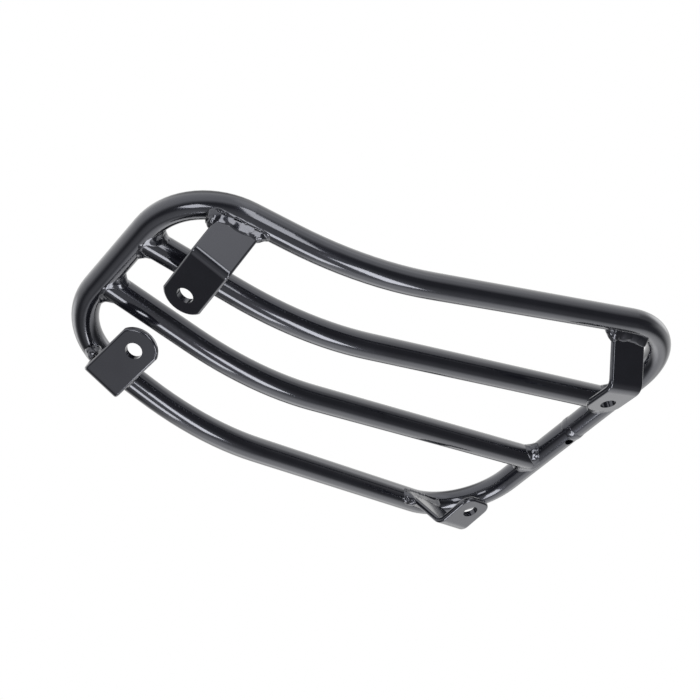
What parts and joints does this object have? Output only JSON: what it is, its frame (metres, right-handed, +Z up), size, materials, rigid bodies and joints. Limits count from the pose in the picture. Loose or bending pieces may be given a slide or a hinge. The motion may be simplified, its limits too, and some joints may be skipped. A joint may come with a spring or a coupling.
{
  "type": "motorcycle luggage rack",
  "caption": "Rigid welded tubular luggage rack: a tapered bent hoop, inner bars along it, and folded flat-bar brackets with bolt holes underneath.",
  "frame": {"origin": "middle of the rack at floor level, with the rack standing on its bracket feet", "axes": "+X from the narrow nose to the wide deck end, +Y to the left side, +Z up"},
  "size_m": [0.3628, 0.2364, 0.0568],
  "materials": {
    "tube_coat": "gloss black powder coat on bent steel tube",
    "bracket_coat": "gloss black powder coat on folded steel flat bar",
    "weld_coat": "gloss black powder coat over rippled weld beads"
  },
  "bodies": {
    "root": {"deck_bar_weld_left": "weld_coat", "deck_bar_weld_right": "weld_coat", "deck_bracket_inner_weld_left": "weld_coat", "deck_bracket_inner_weld_right": "weld_coat", "deck_bracket_left": "bracket_coat", "deck_bracket_outer_weld_left": "weld_coat", "deck_bracket_outer_weld_right": "weld_coat", "deck_bracket_right": "bracket_coat", "hoop_seam_weld": "weld_coat", "hoop_tube": "tube_coat", "inner_bar_left": "tube_coat", "inner_bar_right": "tube_coat", "nose_bar_weld_left": "weld_coat", "nose_bar_weld_right": "weld_coat", "nose_bracket_inner_weld_left": "weld_coat", "nose_bracket_inner_weld_right": "weld_coat", "nose_bracket_left": "bracket_coat", "nose_bracket_outer_weld_left": "weld_coat", "nose_bracket_outer_weld_right": "weld_coat", "nose_bracket_right": "bracket_coat"}
  },
  "joints": []
}
